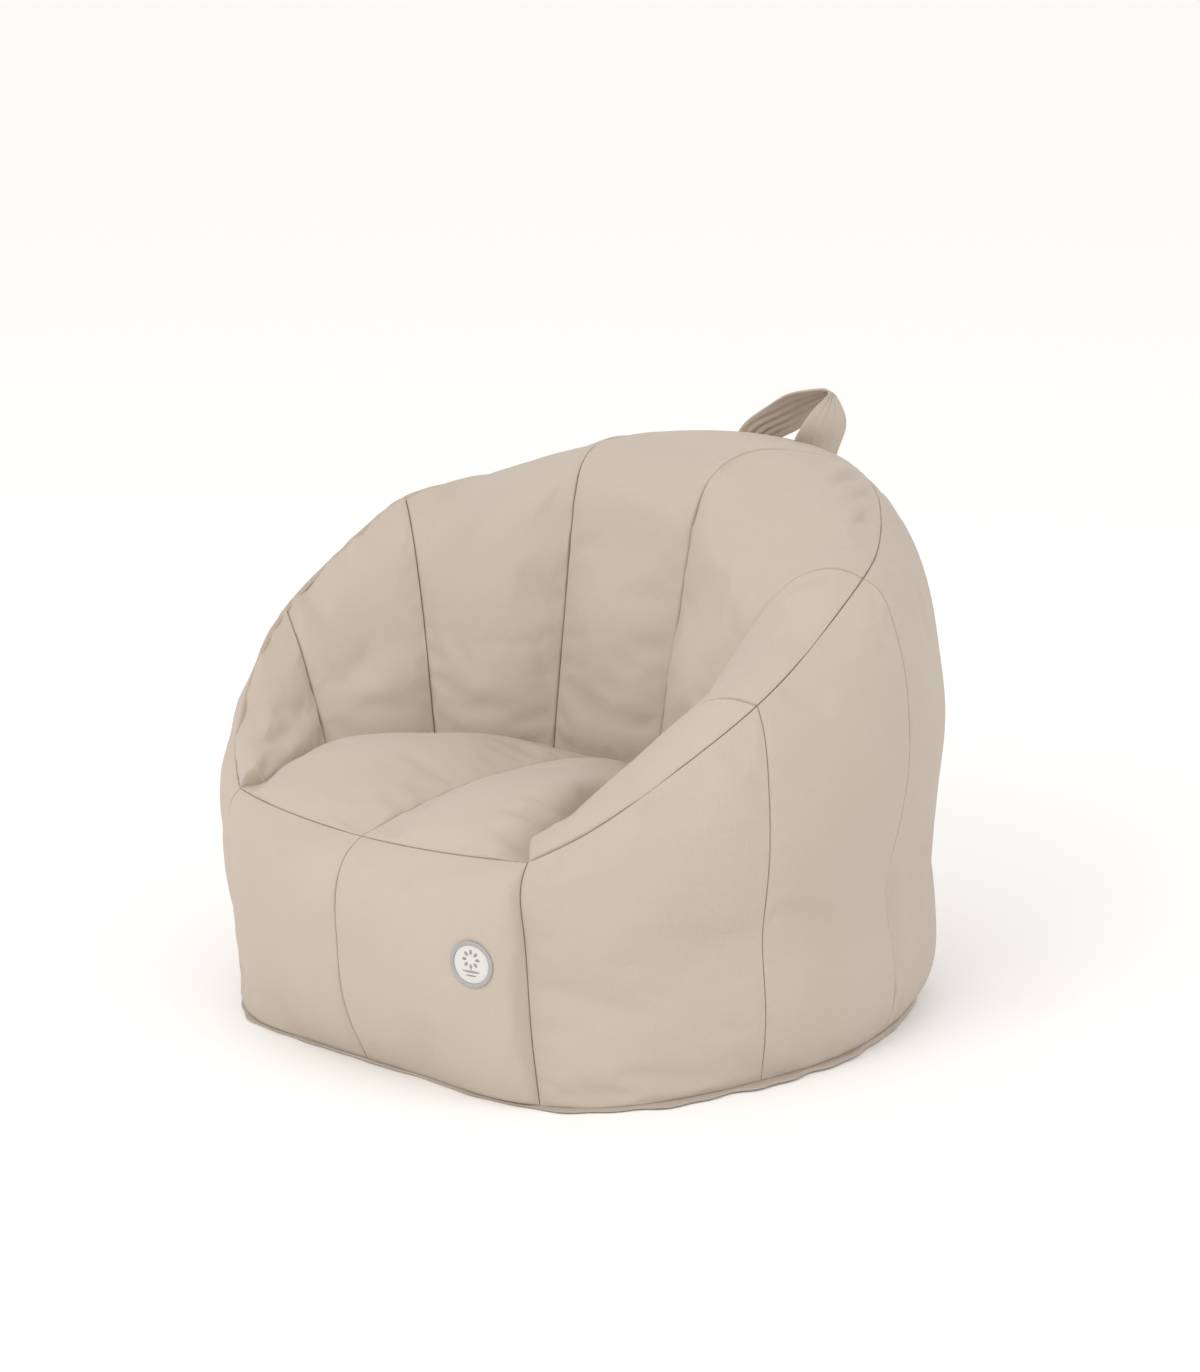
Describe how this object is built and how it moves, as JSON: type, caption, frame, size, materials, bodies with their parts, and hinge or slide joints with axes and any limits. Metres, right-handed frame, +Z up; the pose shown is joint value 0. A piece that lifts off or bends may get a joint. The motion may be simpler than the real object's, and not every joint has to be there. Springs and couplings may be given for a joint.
{
  "type": "bean bag chair",
  "caption": "Round tub-shaped bean bag chair for a child, with channelled back and arms, a split seat cushion, a strap handle and a zipped base.",
  "frame": {"origin": "on the floor at the middle of the chair's plan", "axes": "+Z up, the open front of the seat faces -Y, +X is the sitter's left side; the two halves mirror each other about X = 0"},
  "size_m": [0.599, 0.5908, 0.479],
  "materials": {
    "canvas": "matte",
    "strap_canvas": "matte",
    "base_canvas": "matte",
    "lining": "matte",
    "beads": "matte",
    "zip_tape": "matte",
    "zip_teeth": "satin",
    "zip_slider": "satin",
    "badge_face": "matte",
    "badge_ring": "matte"
  },
  "bodies": {
    "chair": {"badge_face": "badge_face", "badge_ring": "badge_ring", "base_panel_front": "base_canvas", "base_panel_rear": "base_canvas", "bead_fill": "beads", "front_panel_left": "canvas", "front_panel_right": "canvas", "inner_bag": "lining", "inner_panel_arm_left": "canvas", "inner_panel_arm_right": "canvas", "inner_panel_back": "canvas", "inner_panel_shoulder_left": "canvas", "inner_panel_shoulder_right": "canvas", "inner_panel_wing_left": "canvas", "inner_panel_wing_right": "canvas", "outer_panel_arm_left": "canvas", "outer_panel_arm_right": "canvas", "outer_panel_back": "canvas", "outer_panel_shoulder_left": "canvas", "outer_panel_shoulder_right": "canvas", "outer_panel_wing_left": "canvas", "outer_panel_wing_right": "canvas", "seat_panel_left": "canvas", "seat_panel_right": "canvas", "zip_stops": "zip_teeth", "zip_tape_front": "zip_tape", "zip_tape_rear": "zip_tape", "zip_teeth_front": "zip_teeth", "zip_teeth_rear": "zip_teeth"},
    "slider": {"zip_slider": "zip_slider"},
    "handle": {"handle_strap": "strap_canvas"}
  },
  "joints": [
    {"name": "zip_slide", "type": "slide", "parent": "chair", "child": "slider", "axis": [-1, 0, 0], "range_m": [0, 0.318]},
    {"name": "handle_flop", "type": "hinge", "parent": "chair", "child": "handle", "pos_m": [0, 0.262, 0.431], "axis": [-1, 0, 0], "range_deg": [-12, 85]}
  ]
}
